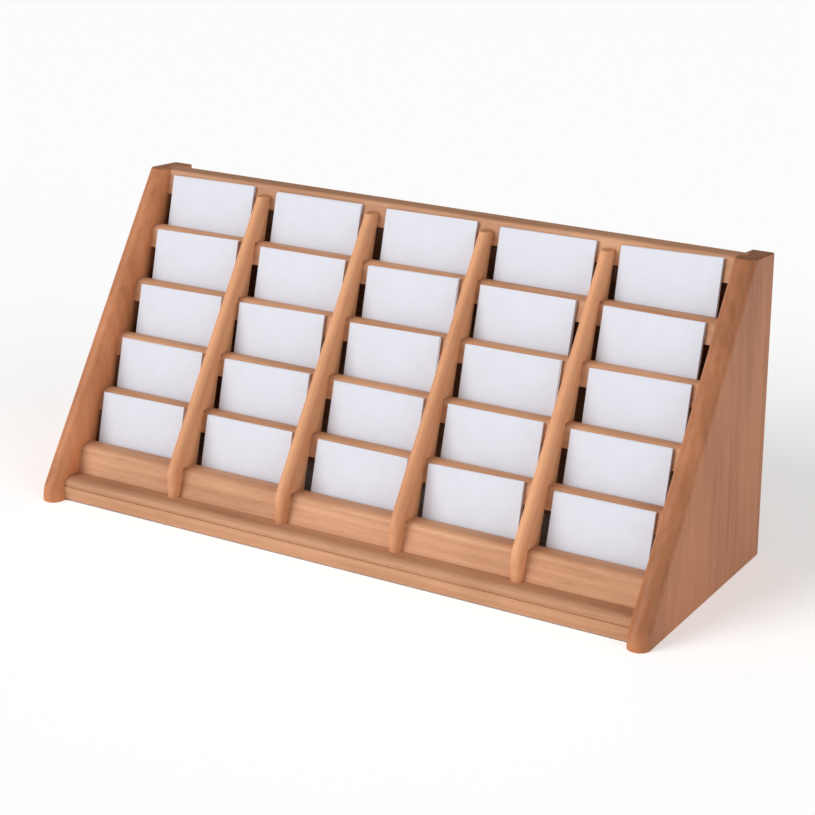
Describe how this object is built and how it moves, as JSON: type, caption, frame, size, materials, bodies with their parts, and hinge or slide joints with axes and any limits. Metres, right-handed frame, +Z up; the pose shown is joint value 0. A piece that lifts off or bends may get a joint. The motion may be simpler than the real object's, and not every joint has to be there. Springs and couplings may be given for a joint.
{
  "type": "tabletop card display rack",
  "caption": "Sloping wooden tabletop rack with stepped rows of small pockets between round-edged dividers, each pocket holding a stack of blank cards.",
  "frame": {"origin": "centre of the footprint, on the surface the rack stands on", "axes": "+X to the right along the rows seen from the front, +Y to the back, +Z up"},
  "size_m": [0.5874, 0.215, 0.2626],
  "materials": {
    "side_wood": "satin",
    "rail_wood": "satin",
    "slat_wood": "satin",
    "divider_wood": "satin",
    "panel_wood": "satin",
    "dowel_wood": "bare",
    "screw_steel": "zinc plated",
    "card_paper": "matte"
  },
  "bodies": {
    "rack": {"left_side_panel": "side_wood", "right_side_panel": "side_wood", "top_rail": "rail_wood", "base_rail": "rail_wood", "back_panel": "panel_wood", "slat_1": "slat_wood", "slat_2": "slat_wood", "slat_3": "slat_wood", "slat_4": "slat_wood", "slat_5": "slat_wood", "floor_strip_1": "slat_wood", "floor_strip_2": "slat_wood", "floor_strip_3": "slat_wood", "floor_strip_4": "slat_wood", "floor_strip_5": "slat_wood", "divider_1": "divider_wood", "divider_2": "divider_wood", "divider_3": "divider_wood", "divider_4": "divider_wood", "rail_dowels": "dowel_wood", "divider_screws": "screw_steel"},
    "cards_r1_c1": {"card_stack_r1_c1": "card_paper"},
    "cards_r1_c2": {"card_stack_r1_c2": "card_paper"},
    "cards_r1_c3": {"card_stack_r1_c3": "card_paper"},
    "cards_r1_c4": {"card_stack_r1_c4": "card_paper"},
    "cards_r1_c5": {"card_stack_r1_c5": "card_paper"},
    "cards_r2_c1": {"card_stack_r2_c1": "card_paper"},
    "cards_r2_c2": {"card_stack_r2_c2": "card_paper"},
    "cards_r2_c3": {"card_stack_r2_c3": "card_paper"},
    "cards_r2_c4": {"card_stack_r2_c4": "card_paper"},
    "cards_r2_c5": {"card_stack_r2_c5": "card_paper"},
    "cards_r3_c1": {"card_stack_r3_c1": "card_paper"},
    "cards_r3_c2": {"card_stack_r3_c2": "card_paper"},
    "cards_r3_c3": {"card_stack_r3_c3": "card_paper"},
    "cards_r3_c4": {"card_stack_r3_c4": "card_paper"},
    "cards_r3_c5": {"card_stack_r3_c5": "card_paper"},
    "cards_r4_c1": {"card_stack_r4_c1": "card_paper"},
    "cards_r4_c2": {"card_stack_r4_c2": "card_paper"},
    "cards_r4_c3": {"card_stack_r4_c3": "card_paper"},
    "cards_r4_c4": {"card_stack_r4_c4": "card_paper"},
    "cards_r4_c5": {"card_stack_r4_c5": "card_paper"},
    "cards_r5_c1": {"card_stack_r5_c1": "card_paper"},
    "cards_r5_c2": {"card_stack_r5_c2": "card_paper"},
    "cards_r5_c3": {"card_stack_r5_c3": "card_paper"},
    "cards_r5_c4": {"card_stack_r5_c4": "card_paper"},
    "cards_r5_c5": {"card_stack_r5_c5": "card_paper"}
  },
  "joints": [
    {"name": "lift_r1_c1", "type": "slide", "parent": "rack", "child": "cards_r1_c1", "axis": [0, 0.284, 0.9588], "range_m": [0, 0.06]},
    {"name": "lift_r1_c2", "type": "slide", "parent": "rack", "child": "cards_r1_c2", "axis": [0, 0.284, 0.9588], "range_m": [0, 0.06]},
    {"name": "lift_r1_c3", "type": "slide", "parent": "rack", "child": "cards_r1_c3", "axis": [0, 0.284, 0.9588], "range_m": [0, 0.06]},
    {"name": "lift_r1_c4", "type": "slide", "parent": "rack", "child": "cards_r1_c4", "axis": [0, 0.284, 0.9588], "range_m": [0, 0.06]},
    {"name": "lift_r1_c5", "type": "slide", "parent": "rack", "child": "cards_r1_c5", "axis": [0, 0.284, 0.9588], "range_m": [0, 0.06]},
    {"name": "lift_r2_c1", "type": "slide", "parent": "rack", "child": "cards_r2_c1", "axis": [0, 0.284, 0.9588], "range_m": [0, 0.06]},
    {"name": "lift_r2_c2", "type": "slide", "parent": "rack", "child": "cards_r2_c2", "axis": [0, 0.284, 0.9588], "range_m": [0, 0.06]},
    {"name": "lift_r2_c3", "type": "slide", "parent": "rack", "child": "cards_r2_c3", "axis": [0, 0.284, 0.9588], "range_m": [0, 0.06]},
    {"name": "lift_r2_c4", "type": "slide", "parent": "rack", "child": "cards_r2_c4", "axis": [0, 0.284, 0.9588], "range_m": [0, 0.06]},
    {"name": "lift_r2_c5", "type": "slide", "parent": "rack", "child": "cards_r2_c5", "axis": [0, 0.284, 0.9588], "range_m": [0, 0.06]},
    {"name": "lift_r3_c1", "type": "slide", "parent": "rack", "child": "cards_r3_c1", "axis": [0, 0.284, 0.9588], "range_m": [0, 0.06]},
    {"name": "lift_r3_c2", "type": "slide", "parent": "rack", "child": "cards_r3_c2", "axis": [0, 0.284, 0.9588], "range_m": [0, 0.06]},
    {"name": "lift_r3_c3", "type": "slide", "parent": "rack", "child": "cards_r3_c3", "axis": [0, 0.284, 0.9588], "range_m": [0, 0.06]},
    {"name": "lift_r3_c4", "type": "slide", "parent": "rack", "child": "cards_r3_c4", "axis": [0, 0.284, 0.9588], "range_m": [0, 0.06]},
    {"name": "lift_r3_c5", "type": "slide", "parent": "rack", "child": "cards_r3_c5", "axis": [0, 0.284, 0.9588], "range_m": [0, 0.06]},
    {"name": "lift_r4_c1", "type": "slide", "parent": "rack", "child": "cards_r4_c1", "axis": [0, 0.284, 0.9588], "range_m": [0, 0.06]},
    {"name": "lift_r4_c2", "type": "slide", "parent": "rack", "child": "cards_r4_c2", "axis": [0, 0.284, 0.9588], "range_m": [0, 0.06]},
    {"name": "lift_r4_c3", "type": "slide", "parent": "rack", "child": "cards_r4_c3", "axis": [0, 0.284, 0.9588], "range_m": [0, 0.06]},
    {"name": "lift_r4_c4", "type": "slide", "parent": "rack", "child": "cards_r4_c4", "axis": [0, 0.284, 0.9588], "range_m": [0, 0.06]},
    {"name": "lift_r4_c5", "type": "slide", "parent": "rack", "child": "cards_r4_c5", "axis": [0, 0.284, 0.9588], "range_m": [0, 0.06]},
    {"name": "lift_r5_c1", "type": "slide", "parent": "rack", "child": "cards_r5_c1", "axis": [0, 0.284, 0.9588], "range_m": [0, 0.06]},
    {"name": "lift_r5_c2", "type": "slide", "parent": "rack", "child": "cards_r5_c2", "axis": [0, 0.284, 0.9588], "range_m": [0, 0.06]},
    {"name": "lift_r5_c3", "type": "slide", "parent": "rack", "child": "cards_r5_c3", "axis": [0, 0.284, 0.9588], "range_m": [0, 0.06]},
    {"name": "lift_r5_c4", "type": "slide", "parent": "rack", "child": "cards_r5_c4", "axis": [0, 0.284, 0.9588], "range_m": [0, 0.06]},
    {"name": "lift_r5_c5", "type": "slide", "parent": "rack", "child": "cards_r5_c5", "axis": [0, 0.284, 0.9588], "range_m": [0, 0.06]}
  ]
}
